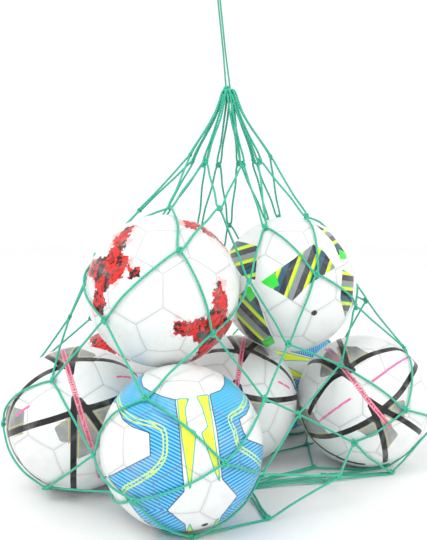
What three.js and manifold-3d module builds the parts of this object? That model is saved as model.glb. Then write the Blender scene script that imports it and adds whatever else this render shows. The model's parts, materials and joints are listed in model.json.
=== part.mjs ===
// A mesh ball bag: a knotted diamond net full of footballs, stood on the floor and drawn up by its cord.
// Millimetres, +Z up. The floor is z = 0, +Y points away from the front of the bag.
import * as THREE from "three";
import { mergeVertices } from "three/addons/utils/BufferGeometryUtils.js";
import Module from "manifold-3d";

// The middle of the bag's footprint, which becomes the part's origin.
const ORIGIN = new THREE.Vector2(4.5, 58);

// Footballs: size 5, a panel casing round a rubber bladder. The floor flattens the lower ones a little.
const BALL_RADIUS = 110;
const CASING_WALL = 2.5;
const BLADDER_RADIUS = 103.8;
const BLADDER_WALL = 1;
const CASING_DETAILS = [3, 2];
const BLADDER_DETAILS = [1, 1];
const FLOOR_BALL = 109;

// Each ball: its centre, and the direction from the centre to its valve.
const BALLS = {
  ball_front: { centre: [-63, -166, FLOOR_BALL], valve: [0.3, -0.6, -0.74] },
  ball_left: { centre: [-228, -20, FLOOR_BALL], valve: [-0.5, 0.6, 0.62] },
  ball_right: { centre: [232.5, 89, FLOOR_BALL], valve: [0.7, 0.5, 0.5] },
  ball_middle: { centre: [12, 93, FLOOR_BALL], valve: [0.4, 0.75, 0.5] },
  ball_back_left: { centre: [-183, 197, FLOOR_BALL], valve: [-0.3, 0.9, 0.3] },
  ball_back_right: { centre: [123, 285, FLOOR_BALL], valve: [0.2, 0.85, 0.5] },
  ball_upper_left: { centre: [-93, -84, 311.5], valve: [-0.75, 0.6, 0.3] },
  ball_upper_right: { centre: [102, 56, 309.5], valve: [0.28, -0.9, -0.33] },
};
const WHITE_PANELS = 0xf2f2f0;
const BLADDER_BLACK = 0x2b2b2b;
const VALVE_BLACK = 0x1d1d1d;
const BALL_COLOURS = {
  ball_front: 0x8fd0ec,
  ball_back_left: 0xd9a79c,
  ball_back_right: 0xb9dcec,
};

const CENTRES = Object.values(BALLS).map((ball) => ball.centre);

// Valve: a rubber stem with a flange inside the bladder and a blind hole for the pump's needle.
const VALVE_HOLE = 3.2;
const VALVE_STEM = 2.6;
const VALVE_FLANGE = 6;
const VALVE_FLANGE_TOP = 95.4;
const VALVE_FLANGE_BOTTOM = 93.6;
const VALVE_TOP = 109.4;
const NEEDLE_HOLE = 0.8;
const NEEDLE_DEPTH = 7;

// Netting: rows of diamond meshes in 3 mm twine, each side of a mesh worked in three straight steps.
const CORD_RADIUS = 1.5;
const CORD_GAP = 0.3;
const MESHES_ROUND = 10;
const ROWS = 10;
const BAR_LENGTH = 121;
const BAR_STEPS = 3;
const KNOT_RISE = 1.9;
const LEG_SPACING = 3.8;

// The net's points and the middles of its steps stay this far from each ball's centre.
const CLEARANCE_RADIUS = 113.4;
const FLOOR_CORD = 1.8;
const FLAT_BELOW = 25;
const STANDING_BELOW = 3;
const SIDE_STEP = 2;

// Where the mouth is gathered and where the bottom is tied, and the ring that does each.
const MOUTH = new THREE.Vector3(3, 0, 608);
const FOOT = new THREE.Vector3(30, -20, 5.6);
const RING_RADIUS = 12;
const HOOK_REACH = 4.1;

// The bag's outline before it settles, from the mouth down: distance from the middle, and height.
const OUTLINE = [
  [16, 608], [60, 515], [130, 430], [205, 350], [280, 270], [345, 190],
  [385, 110], [360, 20], [300, 4], [150, 4], [16, 5],
];
const OUTLINE_DEPTH_SHIFT = 30;

// How the front of the bag has been pulled into place: row, mesh, and the knot's place across and up.
const FRONT_KNOTS = [
  [1, 5, -55, 525], [1, 6, -30, 515], [1, 7, 30, 505], [1, 8, 60, 495], [1, 9, 80, 505],
  [2, 5, -130, 440], [2, 6, -80, 430], [2, 7, -5, 430], [2, 8, 65, 390], [2, 9, 120, 420],
  [3, 4, -220, 370], [3, 5, -155, 360], [3, 6, -55, 355], [3, 7, 35, 330], [3, 8, 115, 325],
  [3, 9, 190, 365],
  [4, 5, -245, 265], [4, 6, -130, 260], [4, 7, -15, 255], [4, 8, 95, 235], [4, 9, 195, 265],
  [4, 0, 255, 270],
  [5, 4, -345, 165], [5, 5, -225, 155], [5, 6, -80, 175], [5, 7, 50, 175], [5, 8, 180, 190],
  [5, 9, 295, 195],
  [6, 5, -340, 70], [6, 6, -175, 70], [6, 7, -10, 100], [6, 8, 110, 130], [6, 9, 270, 100],
  [7, 8, 207, 69],
];

// Settling: the sweeps, the pull of gravity at first, and how firmly each rule is held in one sweep.
// The front knots are drawn back against the balls, and held where they have been pulled to.
const SWEEPS = 5000;
const PULLED_SHARE = 0.85;
const WEIGHT = 0.15;
const SLACK_PUSH = 0.1;
const BENDING = 0.15;
const HINT_PULL = 0.12;
const PRESS_BACK = 8;

// Drawcord: two strands of 3 mm cord side by side, leaning a little to the left, then a knot and a loop.
const STRAND_BOTTOM = 606;
const STRAND_TOP = 764;
const STRAND_HALF_GAP_BOTTOM = 3.3;
const STRAND_HALF_GAP_TOP = 1.7;
const STRAND_LEAN = -0.105;
const STRAND_SIDES = 8;
const STRAND_POINTS = 16;
const STRAND_STEPS = 18;
const STRAND_CLOSING = 2.5;
const END_KNOT_RADIUS = 6;
const END_KNOT_HEIGHT = 16;
const LOOP_HALF_WIDTH = 17;
const LOOP_HEIGHT = 55;
const LOOP_STEPS = 20;
const LOOP_TUBE_STEPS = 26;
const LOOP_HALF_GAP = 1.8;
const LOOP_ROUNDNESS = 1.2;

const CORD_GREEN = 0x1fae8a;

const wasm = await Module();
wasm.setup();

// ---- closed meshes in and out of the boolean library ----

function bare(geometry) {
  const copy = geometry.clone();
  copy.deleteAttribute("normal");
  copy.deleteAttribute("uv");
  return mergeVertices(copy, 1e-4);
}

function toSolid(geometry) {
  const merged = bare(geometry);
  return new wasm.Manifold(
    new wasm.Mesh({
      numProp: 3,
      vertProperties: new Float32Array(merged.attributes.position.array),
      triVerts: new Uint32Array(merged.index.array),
    }),
  );
}

function toGeometry(solid) {
  const mesh = solid.getMesh();
  const geometry = new THREE.BufferGeometry();
  geometry.setAttribute("position", new THREE.BufferAttribute(new Float32Array(mesh.vertProperties), 3));
  geometry.setIndex(new THREE.BufferAttribute(new Uint32Array(mesh.triVerts), 1));
  geometry.computeVertexNormals();
  return geometry;
}

function addPiece(name, geometry, colour, roughness) {
  const material = new THREE.MeshStandardMaterial({ color: colour, roughness, metalness: 0 });
  const mesh = new THREE.Mesh(geometry, material);
  mesh.name = name;
  bag.add(mesh);
}

// ---- footballs ----

function alongValve(geometry, direction, distance) {
  const turn = new THREE.Quaternion().setFromUnitVectors(new THREE.Vector3(0, 1, 0), direction);
  return geometry.clone().translate(0, distance, 0).applyQuaternion(turn);
}

function shell(outerRadius, wall, details, direction) {
  const outer = toSolid(new THREE.IcosahedronGeometry(outerRadius, details[0]));
  const inner = toSolid(new THREE.IcosahedronGeometry(outerRadius - wall, details[1]));
  const hole = new THREE.CylinderGeometry(VALVE_HOLE, VALVE_HOLE, 30, 8);
  return outer.subtract(inner).subtract(toSolid(alongValve(hole, direction, outerRadius)));
}

function casing(centre, direction) {
  const below = new THREE.BoxGeometry(300, 300, 100).translate(0, 0, -centre[2] - 50);
  return toGeometry(shell(BALL_RADIUS, CASING_WALL, CASING_DETAILS, direction).subtract(toSolid(below)));
}

function valve(direction) {
  const profile = [
    [0, VALVE_FLANGE_BOTTOM],
    [VALVE_FLANGE, VALVE_FLANGE_BOTTOM],
    [VALVE_FLANGE, VALVE_FLANGE_TOP],
    [VALVE_STEM, VALVE_FLANGE_TOP],
    [VALVE_STEM, VALVE_TOP],
    [NEEDLE_HOLE, VALVE_TOP],
    [NEEDLE_HOLE, VALVE_TOP - NEEDLE_DEPTH],
    [0, VALVE_TOP - NEEDLE_DEPTH],
  ];
  const points = profile.map(([x, y]) => new THREE.Vector2(x, y));
  return alongValve(new THREE.LatheGeometry(points, 8), direction, 0);
}

function addBall(name, { centre, valve: valveWay }) {
  const direction = new THREE.Vector3(...valveWay).normalize();
  const colour = BALL_COLOURS[name] ?? WHITE_PANELS;
  const inner = toGeometry(shell(BLADDER_RADIUS, BLADDER_WALL, BLADDER_DETAILS, direction));
  addPiece(`${name}_casing`, casing(centre, direction).translate(...centre), colour, 0.35);
  addPiece(`${name}_bladder`, inner.translate(...centre), BLADDER_BLACK, 0.8);
  addPiece(`${name}_valve`, valve(direction).translate(...centre), VALVE_BLACK, 0.7);
}

// ---- the net, as points joined by straight steps, settled over the balls ----

// Knots of row 0 are the mouth's loops and knots of the last row are the bottom's: both are held.
function layOutNet() {
  const points = [];
  const held = [];
  const knots = OUTLINE.map(([radius, height], row) => {
    const share = row / ROWS;
    const middle = new THREE.Vector3().lerpVectors(MOUTH, FOOT, share);
    if (row > 0 && row < ROWS) {
      middle.y += OUTLINE_DEPTH_SHIFT;
    }
    return Array.from({ length: MESHES_ROUND }, (_, mesh) => {
      const angle = ((mesh + (row % 2) / 2) * 2 * Math.PI) / MESHES_ROUND;
      points.push([middle.x + radius * Math.cos(angle), middle.y + radius * Math.sin(angle), height]);
      held.push(row === 0 || row === ROWS);
      return points.length - 1;
    });
  });
  return { points, held, knots };
}

// Joins the knots of each two neighbouring rows by a zigzag of bars, and lists the rules between points.
function workRows({ points, held, knots }) {
  const steps = [];
  const bends = [];
  const spacings = [];
  const rows = [];
  for (let row = 1; row <= ROWS; row += 1) {
    const ends = [];
    for (let mesh = 0; mesh < MESHES_ROUND; mesh += 1) {
      const pair = [knots[row - 1][mesh], knots[row][mesh]];
      ends.push(...(row % 2 === 1 ? pair : pair.reverse()));
    }
    const path = [];
    ends.forEach((from, index) => {
      const to = ends[(index + 1) % ends.length];
      path.push(from);
      for (let step = 1; step < BAR_STEPS; step += 1) {
        const share = step / BAR_STEPS;
        points.push(points[from].map((value, axis) => value + (points[to][axis] - value) * share));
        held.push(false);
        path.push(points.length - 1);
      }
    });
    const around = (index) => path[(index + path.length) % path.length];
    path.forEach((point, index) => {
      steps.push([point, around(index + 1)]);
      if (index % BAR_STEPS === 0) {
        for (let step = 1; step < BAR_STEPS; step += 1) {
          spacings.push([around(index - step), around(index + step)]);
        }
      } else {
        bends.push([around(index - 1), point, around(index + 1)]);
      }
    });
    rows.push(path);
  }
  return { rows, steps, bends, spacings };
}

function difference(a, b) {
  return [b[0] - a[0], b[1] - a[1], b[2] - a[2]];
}

// The move that takes a point out of the balls: straight out, or a little sideways where a ball stands.
function wayOut(point) {
  const move = [0, 0, 0];
  for (const centre of CENTRES) {
    const away = difference(centre, point);
    const distance = Math.hypot(...away);
    if (distance < CLEARANCE_RADIUS) {
      const low = point[2] < STANDING_BELOW;
      const level = Math.hypot(away[0], away[1]);
      const wanted = Math.sqrt(Math.max(0, CLEARANCE_RADIUS ** 2 - away[2] ** 2));
      const amount = low
        ? Math.min(wanted - level, SIDE_STEP) / level
        : CLEARANCE_RADIUS / distance - 1;
      away.forEach((value, axis) => {
        move[axis] += low && axis === 2 ? 0 : value * amount;
      });
    }
  }
  return move;
}

// Moves a point out of the balls and up off the floor.
function keepClear(point) {
  wayOut(point).forEach((value, axis) => {
    point[axis] += value;
  });
  point[2] = Math.max(point[2], FLOOR_CORD);
}

// Sweeps over the net, each time letting it sink a little and then restoring the length of each step.
function settle(net, { steps, bends, spacings }) {
  const { points, held, knots } = net;
  const restLength = BAR_LENGTH / BAR_STEPS;
  const counts = points.map(() => 0);
  steps.forEach(([a, b]) => {
    counts[a] += 1;
    counts[b] += 1;
  });
  const shares = counts.map((count) => (count > 2 ? 2 / count : 1));
  for (let sweep = 0; sweep < SWEEPS; sweep += 1) {
    const fade = Math.max(0, 1 - sweep / (SWEEPS * PULLED_SHARE));
    const sink = WEIGHT * fade;
    points.forEach((point, index) => {
      point[2] -= held[index] ? 0 : sink;
    });
    const moves = points.map(() => [0, 0, 0]);
    const push = (index, way, amount) => {
      way.forEach((value, axis) => {
        moves[index][axis] += value * amount;
      });
    };
    for (const [a, b] of steps) {
      const way = difference(points[a], points[b]);
      const length = Math.hypot(...way) + 1e-9;
      let amount = (length - restLength) / length / 2;
      amount *= amount < 0 ? SLACK_PUSH : 1;
      amount *= held[a] || held[b] ? 2 : 1;
      push(a, way, amount);
      push(b, way, -amount);
    }
    for (const [a, b] of steps) {
      const way = wayOut(points[a].map((value, axis) => (value + points[b][axis]) / 2));
      push(a, way, 1);
      push(b, way, 1);
    }
    for (const [a, middle, b] of bends) {
      push(middle, difference(points[middle], points[a]), BENDING / 2);
      push(middle, difference(points[middle], points[b]), BENDING / 2);
    }
    for (const [a, b] of spacings) {
      const way = difference(points[a], points[b]);
      const length = Math.hypot(...way) + 1e-9;
      const amount = Math.min(0, (length - LEG_SPACING) / length / 2);
      push(a, way, amount);
      push(b, way, -amount);
    }
    for (const [row, mesh, across, up] of FRONT_KNOTS) {
      const index = knots[row][mesh];
      push(index, [across - points[index][0], PRESS_BACK, up - points[index][2]], HINT_PULL);
    }
    points.forEach((point, index) => {
      if (!held[index]) {
        moves[index].forEach((value, axis) => {
          point[axis] += value * shares[index];
        });
        keepClear(point);
      }
    });
  }
}

// ---- cords ----

// A closed path of straight steps, given to TubeGeometry so that each of its points gets one ring.
class SteppedLoop extends THREE.Curve {
  constructor(points) {
    super();
    this.points = points;
  }

  getPoint(share, target = new THREE.Vector3()) {
    return target.copy(this.points[Math.round(share * this.points.length) % this.points.length]);
  }

  getPointAt(share, target) {
    return this.getPoint(share, target);
  }

  getTangentAt(share, target = new THREE.Vector3()) {
    const count = this.points.length;
    const index = Math.round(share * count);
    const before = this.points[(index + count - 1) % count];
    const after = this.points[(index + 1) % count];
    return target.subVectors(after, before).normalize();
  }
}

// The loop where one bar turns into the next: a small U with its bottom a little off the knot's middle.
function kneeAt(knot, legIn, legOut, upward) {
  const bottom = knot.clone().addScaledVector(upward, KNOT_RISE);
  const sideways = new THREE.Vector3().subVectors(legIn, legOut);
  sideways.addScaledVector(upward, -sideways.dot(upward)).normalize();
  return [1, -1].map((side) => {
    const point = bottom.clone().addScaledVector(sideways, (side * LEG_SPACING) / 2).toArray();
    keepClear(point);
    return new THREE.Vector3(...point);
  });
}

// The loop where a bar is hooked over a ring: up outside it, over the top, down inside and out below.
function hookAt(centre, angle) {
  const turns = [
    [-8, HOOK_REACH + 1, 0.5], [-3, 0, HOOK_REACH], [0, -HOOK_REACH, 0], [3, 0, -HOOK_REACH],
    [8, HOOK_REACH + 1, -HOOK_REACH],
  ];
  return turns.map(([degrees, outward, rise]) => {
    const way = angle + (degrees * Math.PI) / 180;
    const reach = RING_RADIUS + outward;
    return new THREE.Vector3(
      centre.x + reach * Math.cos(way), centre.y + reach * Math.sin(way), centre.z + rise);
  });
}

function addNet() {
  const net = layOutNet();
  const work = workRows(net);
  settle(net, work);
  const place = (index) => new THREE.Vector3(...net.points[index]);
  const legs = new Map();
  work.rows.forEach((path, row) => {
    for (let index = 0; index < path.length; index += BAR_STEPS) {
      const knot = place(path[index]);
      const before = place(path.at(index - 1)).sub(knot).normalize();
      const after = place(path[index + 1]).sub(knot).normalize();
      const isUpper = net.knots[row].includes(path[index]);
      legs.set(`${row},${path[index]}`, { before, after, isUpper, knot });
    }
  });
  work.rows.forEach((path, row) => {
    const line = [];
    path.forEach((point, index) => {
      if (index % BAR_STEPS !== 0) {
        line.push(place(point));
        return;
      }
      const { before, after, isUpper, knot } = legs.get(`${row},${point}`);
      const other = legs.get(`${isUpper ? row - 1 : row + 1},${point}`);
      if (other === undefined) {
        const centre = isUpper ? MOUTH : FOOT;
        const angle = Math.atan2(knot.y - centre.y, knot.x - centre.x);
        line.push(...hookAt(centre, angle));
        return;
      }
      const upward = before.clone().add(after).sub(other.before).sub(other.after);
      upward.z = knot.z < FLAT_BELOW ? 0 : upward.z;
      upward.normalize();
      line.push(...kneeAt(knot, before, after, upward));
    });
    const number = String(row + 1).padStart(2, "0");
    const tube = new THREE.TubeGeometry(new SteppedLoop(line), line.length, CORD_RADIUS, 4, true);
    addPiece(`net_row_${number}`, bare(tube), CORD_GREEN, 0.55);
  });
}

function addRing(name, centre) {
  const ring = new THREE.TorusGeometry(RING_RADIUS, CORD_RADIUS, 6, 16);
  addPiece(name, ring.translate(centre.x, centre.y, centre.z), CORD_GREEN, 0.55);
}

// ---- drawcord ----

function cordAlong(points, steps) {
  const section = new THREE.Shape();
  for (let side = 0; side < STRAND_SIDES; side += 1) {
    const angle = (side * 2 * Math.PI) / STRAND_SIDES;
    const corner = [CORD_RADIUS * Math.cos(angle), CORD_RADIUS * Math.sin(angle)];
    if (side === 0) {
      section.moveTo(...corner);
    } else {
      section.lineTo(...corner);
    }
  }
  section.closePath();
  const path = new THREE.CatmullRomCurve3(points);
  return new THREE.ExtrudeGeometry(section, { steps, extrudePath: path, curveSegments: 1 });
}

function leanAt(height) {
  return MOUTH.x + STRAND_LEAN * (height - MOUTH.z);
}

function addStrand(name, side) {
  const points = [];
  for (let index = 0; index < STRAND_POINTS; index += 1) {
    const share = index / (STRAND_POINTS - 1);
    const height = STRAND_BOTTOM + share * (STRAND_TOP - STRAND_BOTTOM);
    const closing = Math.min(1, share * STRAND_CLOSING);
    const half = STRAND_HALF_GAP_BOTTOM + closing * (STRAND_HALF_GAP_TOP - STRAND_HALF_GAP_BOTTOM);
    points.push(new THREE.Vector3(leanAt(height) + side * half, MOUTH.y, height));
  }
  addPiece(name, cordAlong(points, STRAND_STEPS), CORD_GREEN, 0.55);
}

function addEndKnotAndLoop() {
  const knotBottom = STRAND_TOP + CORD_GAP;
  const knotMiddle = knotBottom + END_KNOT_HEIGHT / 2;
  const knot = new THREE.IcosahedronGeometry(1, 2);
  knot.scale(END_KNOT_RADIUS, END_KNOT_RADIUS, END_KNOT_HEIGHT / 2);
  addPiece("drawcord_knot", bare(knot.translate(leanAt(knotMiddle), MOUTH.y, knotMiddle)), CORD_GREEN, 0.6);
  const foot = knotBottom + END_KNOT_HEIGHT + CORD_GAP;
  const points = [];
  for (let index = 0; index <= LOOP_STEPS; index += 1) {
    const angle = (2 * Math.PI * index) / LOOP_STEPS;
    const rise = ((1 - Math.cos(angle)) / 2) * LOOP_HEIGHT;
    const opening = Math.sin(angle / 2) ** LOOP_ROUNDNESS;
    const across = -LOOP_HALF_WIDTH * Math.sin(angle) * opening - LOOP_HALF_GAP * Math.cos(angle / 2);
    points.push(new THREE.Vector3(leanAt(knotMiddle) + across, MOUTH.y, foot + rise));
  }
  addPiece("drawcord_loop", cordAlong(points, LOOP_TUBE_STEPS), CORD_GREEN, 0.55);
}

// ---- the whole bag ----

const bag = new THREE.Group();
bag.position.set(-ORIGIN.x, -ORIGIN.y, 0);
Object.entries(BALLS).forEach(([name, ball]) => addBall(name, ball));
addNet();
addRing("mouth_ring", MOUTH);
addRing("bottom_tie", FOOT);
addStrand("drawcord_left", -1);
addStrand("drawcord_right", 1);
addEndKnotAndLoop();

export default bag;
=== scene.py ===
"""The looks of a mesh ball bag: twisted green twine, tied knots and eight stitched footballs."""
import json
import math

import bpy
import numpy as np
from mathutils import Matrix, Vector

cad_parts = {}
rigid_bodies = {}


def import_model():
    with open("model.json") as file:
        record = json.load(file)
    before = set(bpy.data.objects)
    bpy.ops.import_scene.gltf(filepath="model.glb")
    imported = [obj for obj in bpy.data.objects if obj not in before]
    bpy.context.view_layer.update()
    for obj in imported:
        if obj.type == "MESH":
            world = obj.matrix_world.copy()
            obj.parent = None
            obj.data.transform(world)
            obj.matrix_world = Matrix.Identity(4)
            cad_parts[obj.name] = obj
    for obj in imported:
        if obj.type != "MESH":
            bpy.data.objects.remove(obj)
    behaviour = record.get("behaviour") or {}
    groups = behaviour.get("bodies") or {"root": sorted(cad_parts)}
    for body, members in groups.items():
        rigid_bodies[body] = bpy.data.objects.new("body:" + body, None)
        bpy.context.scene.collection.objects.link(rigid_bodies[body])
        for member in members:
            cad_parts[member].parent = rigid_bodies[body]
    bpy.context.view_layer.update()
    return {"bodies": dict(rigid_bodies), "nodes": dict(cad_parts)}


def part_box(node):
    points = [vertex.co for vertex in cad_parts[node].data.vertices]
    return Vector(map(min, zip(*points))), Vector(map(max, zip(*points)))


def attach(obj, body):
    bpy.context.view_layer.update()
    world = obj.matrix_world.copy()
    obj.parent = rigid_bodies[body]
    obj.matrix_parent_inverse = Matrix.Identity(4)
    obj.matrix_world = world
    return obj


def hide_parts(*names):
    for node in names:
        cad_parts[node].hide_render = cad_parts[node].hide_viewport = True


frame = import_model()

MM = 0.001

# ---- the frame's own measures ----

BALLS = sorted(name for name in frame["bodies"] if name.startswith("ball_"))
BALL_RADIUS = 110.0
# A ball on the floor is pressed a little flat, so its centre is lower than its radius.
FLOOR_BALL_HEIGHT = 109.0
UPPER_BALL_HEIGHTS = {"ball_upper_left": 311.5, "ball_upper_right": 309.5}


def ball_centre(name):
    """The middle of a ball in millimetres: its box's middle seen from above, and its stated height."""
    low, high = (np.array(corner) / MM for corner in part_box(f"{name}_casing"))
    height = UPPER_BALL_HEIGHTS.get(name, FLOOR_BALL_HEIGHT)
    return np.array([(low[0] + high[0]) / 2, (low[1] + high[1]) / 2, height])


# The frame's origin in the net's own measures.
ORIGIN = np.array([4.5, 58.0, 0.0])
CENTRES = {name: ball_centre(name) + ORIGIN for name in BALLS}

# ---- camera: the first thing made ----

CAMERA_PLACE = (-0.0245, -1.208, 0.4124)
CAMERA_DOWN = 3.8
CAMERA_LENS = 49.4
CAMERA_SENSOR = 36.0
CAMERA_REACH = 60.0


def add_camera():
    data = bpy.data.cameras.new("camera")
    data.lens = CAMERA_LENS
    data.sensor_width = CAMERA_SENSOR
    data.clip_end = CAMERA_REACH
    camera = bpy.data.objects.new("camera", data)
    bpy.context.scene.collection.objects.link(camera)
    camera.location = CAMERA_PLACE
    camera.rotation_euler = (math.radians(90 - CAMERA_DOWN), 0, 0)
    bpy.context.scene.camera = camera


add_camera()

# ---- shader helpers ----


class Field:
    """A number that varies over a surface. Arithmetic on it adds Math nodes to the material."""

    def __init__(self, tree, socket):
        self.tree = tree
        self.socket = socket

    def math(self, operation, *others, clamp=False):
        node = self.tree.nodes.new("ShaderNodeMath")
        node.operation = operation
        node.use_clamp = clamp
        self.tree.links.new(self.socket, node.inputs[0])
        for place, other in enumerate(others, start=1):
            if isinstance(other, Field):
                self.tree.links.new(other.socket, node.inputs[place])
            else:
                node.inputs[place].default_value = other
        return Field(self.tree, node.outputs[0])

    def __add__(self, other):
        return self.math("ADD", other)

    def __sub__(self, other):
        return self.math("SUBTRACT", other)

    def __mul__(self, other):
        return self.math("MULTIPLY", other)

    def __truediv__(self, other):
        return self.math("DIVIDE", other)

    def less(self, other):
        return self.math("LESS_THAN", other)

    def more(self, other):
        return self.math("GREATER_THAN", other)

    def fraction(self):
        return self.math("FRACT")

    def size(self):
        return self.math("ABSOLUTE")

    def step(self, edge, soft):
        """0 below the edge and 1 above it, over a soft width."""
        return ((self - (edge - soft / 2)) * (1 / soft)).math("MAXIMUM", 0.0).math("MINIMUM", 1.0)


class Paint:
    """A material's node tree, with the surface's own coordinates and a colour built up in layers."""

    def __init__(self, name, roughness, coat=0.0, sheen=0.0, specular=0.5):
        self.material = bpy.data.materials.new(name)
        self.material.use_nodes = True
        self.tree = self.material.node_tree
        self.shader = next(node for node in self.tree.nodes if node.type == "BSDF_PRINCIPLED")
        self.shader.inputs["Roughness"].default_value = roughness
        self.shader.inputs["Coat Weight"].default_value = coat
        self.shader.inputs["Coat Roughness"].default_value = 0.08
        self.shader.inputs["Sheen Weight"].default_value = sheen
        self.shader.inputs["Specular IOR Level"].default_value = specular
        self.colour = None

    def attribute(self, name):
        node = self.tree.nodes.new("ShaderNodeAttribute")
        node.attribute_name = name
        return node

    def number(self, name):
        return Field(self.tree, self.attribute(name).outputs["Fac"])

    def axes(self, name):
        split = self.tree.nodes.new("ShaderNodeSeparateXYZ")
        self.tree.links.new(self.attribute(name).outputs["Vector"], split.inputs[0])
        return [Field(self.tree, output) for output in split.outputs]

    def place(self, where):
        """The surface's coordinates: a piece's own numbers by name, or its object's metres."""
        if where == "object":
            return self.tree.nodes.new("ShaderNodeTexCoord").outputs["Object"]
        return self.attribute(where).outputs["Vector"]

    def noise(self, scale, detail=3.0, where="unit", roughness=0.5):
        node = self.tree.nodes.new("ShaderNodeTexNoise")
        node.inputs["Scale"].default_value = scale
        node.inputs["Detail"].default_value = detail
        node.inputs["Roughness"].default_value = roughness
        self.tree.links.new(self.place(where), node.inputs["Vector"])
        return Field(self.tree, node.outputs[0])

    def cells(self, scale, where="unit"):
        node = self.tree.nodes.new("ShaderNodeTexVoronoi")
        node.inputs["Scale"].default_value = scale
        self.tree.links.new(self.place(where), node.inputs["Vector"])
        return Field(self.tree, node.outputs["Distance"])

    def base(self, colour):
        node = self.tree.nodes.new("ShaderNodeRGB")
        node.outputs[0].default_value = (*colour, 1)
        self.colour = node.outputs[0]

    def layer(self, colour, amount):
        """Lays a colour over what is there, where amount is 1."""
        mix = self.tree.nodes.new("ShaderNodeMix")
        mix.data_type = "RGBA"
        self.tree.links.new(amount.socket, mix.inputs["Factor"])
        self.tree.links.new(self.colour, mix.inputs[6])
        mix.inputs[7].default_value = (*colour, 1)
        self.colour = mix.outputs[2]

    def rough(self, field):
        self.tree.links.new(field.socket, self.shader.inputs["Roughness"])

    def bump(self, height, strength, distance):
        node = self.tree.nodes.new("ShaderNodeBump")
        node.inputs["Strength"].default_value = strength
        node.inputs["Distance"].default_value = distance
        self.tree.links.new(height.socket, node.inputs["Height"])
        self.tree.links.new(node.outputs[0], self.shader.inputs["Normal"])

    def done(self):
        self.tree.links.new(self.colour, self.shader.inputs["Base Color"])
        return self.material


def linear(*levels):
    """A colour given in the 0 to 255 levels of a screen, as linear light."""
    shares = [level / 255 for level in levels]
    return tuple(s / 12.92 if s <= 0.04045 else ((s + 0.055) / 1.055) ** 2.4 for s in shares)


# ---- mesh helpers ----


def new_piece(name, vertices, faces, material, smooth=True):
    """A mesh piece from corners in millimetres."""
    mesh = bpy.data.meshes.new(name)
    mesh.from_pydata((np.asarray(vertices) * MM).tolist(), [], faces)
    mesh.materials.append(material)
    mesh.validate()
    for polygon in mesh.polygons:
        polygon.use_smooth = smooth
    piece = bpy.data.objects.new(name, mesh)
    bpy.context.scene.collection.objects.link(piece)
    return piece


def set_numbers(piece, name, values):
    values = np.asarray(values, float)
    kind = "FLOAT" if values.ndim == 1 else "FLOAT_VECTOR"
    attribute = piece.data.attributes.new(name, kind, "POINT")
    attribute.data.foreach_set("value" if values.ndim == 1 else "vector", values.ravel())


# ---- the net's line: the same points and rules that the CAD rows are made by ----

MESHES_ROUND = 10
ROWS = 10
BAR_LENGTH = 121.0
BAR_STEPS = 3
KNOT_RISE = 1.9
LEG_SPACING = 3.8
CORD_RADIUS = 1.5
CLEARANCE_RADIUS = 113.4
FLOOR_CORD = 1.8
FLAT_BELOW = 25.0
STANDING_BELOW = 3.0
SIDE_STEP = 2.0
MOUTH = np.array([3.0, 0.0, 608.0])
FOOT = np.array([30.0, -20.0, 5.6])
RING_RADIUS = 12.0
HOOK_REACH = 4.1
OUTLINE = [
    (16, 608), (60, 515), (130, 430), (205, 350), (280, 270), (345, 190),
    (385, 110), (360, 20), (300, 4), (150, 4), (16, 5),
]
OUTLINE_DEPTH_SHIFT = 30.0
FRONT_KNOTS = [
    (1, 5, -55, 525), (1, 6, -30, 515), (1, 7, 30, 505), (1, 8, 60, 495), (1, 9, 80, 505),
    (2, 5, -130, 440), (2, 6, -80, 430), (2, 7, -5, 430), (2, 8, 65, 390), (2, 9, 120, 420),
    (3, 4, -220, 370), (3, 5, -155, 360), (3, 6, -55, 355), (3, 7, 35, 330), (3, 8, 115, 325),
    (3, 9, 190, 365),
    (4, 5, -245, 265), (4, 6, -130, 260), (4, 7, -15, 255), (4, 8, 95, 235), (4, 9, 195, 265),
    (4, 0, 255, 270),
    (5, 4, -345, 165), (5, 5, -225, 155), (5, 6, -80, 175), (5, 7, 50, 175), (5, 8, 180, 190),
    (5, 9, 295, 195),
    (6, 5, -340, 70), (6, 6, -175, 70), (6, 7, -10, 100), (6, 8, 110, 130), (6, 9, 270, 100),
    (7, 8, 207, 69),
]
SWEEPS = 5000
PULLED_SHARE = 0.85
WEIGHT = 0.15
SLACK_PUSH = 0.1
BENDING = 0.15
HINT_PULL = 0.12
PRESS_BACK = 8.0


def lay_out_net():
    """The knots of each row before the net settles, and which of them are held."""
    points, held, knots = [], [], []
    for row, (radius, height) in enumerate(OUTLINE):
        middle = MOUTH + (FOOT - MOUTH) * row / ROWS
        if 0 < row < ROWS:
            middle = middle + np.array([0, OUTLINE_DEPTH_SHIFT, 0])
        knots.append([])
        for mesh in range(MESHES_ROUND):
            angle = (mesh + (row % 2) / 2) * 2 * math.pi / MESHES_ROUND
            knots[row].append(len(points))
            across, deep = radius * math.cos(angle), radius * math.sin(angle)
            points.append([middle[0] + across, middle[1] + deep, height])
            held.append(row in (0, ROWS))
    return points, held, knots


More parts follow.
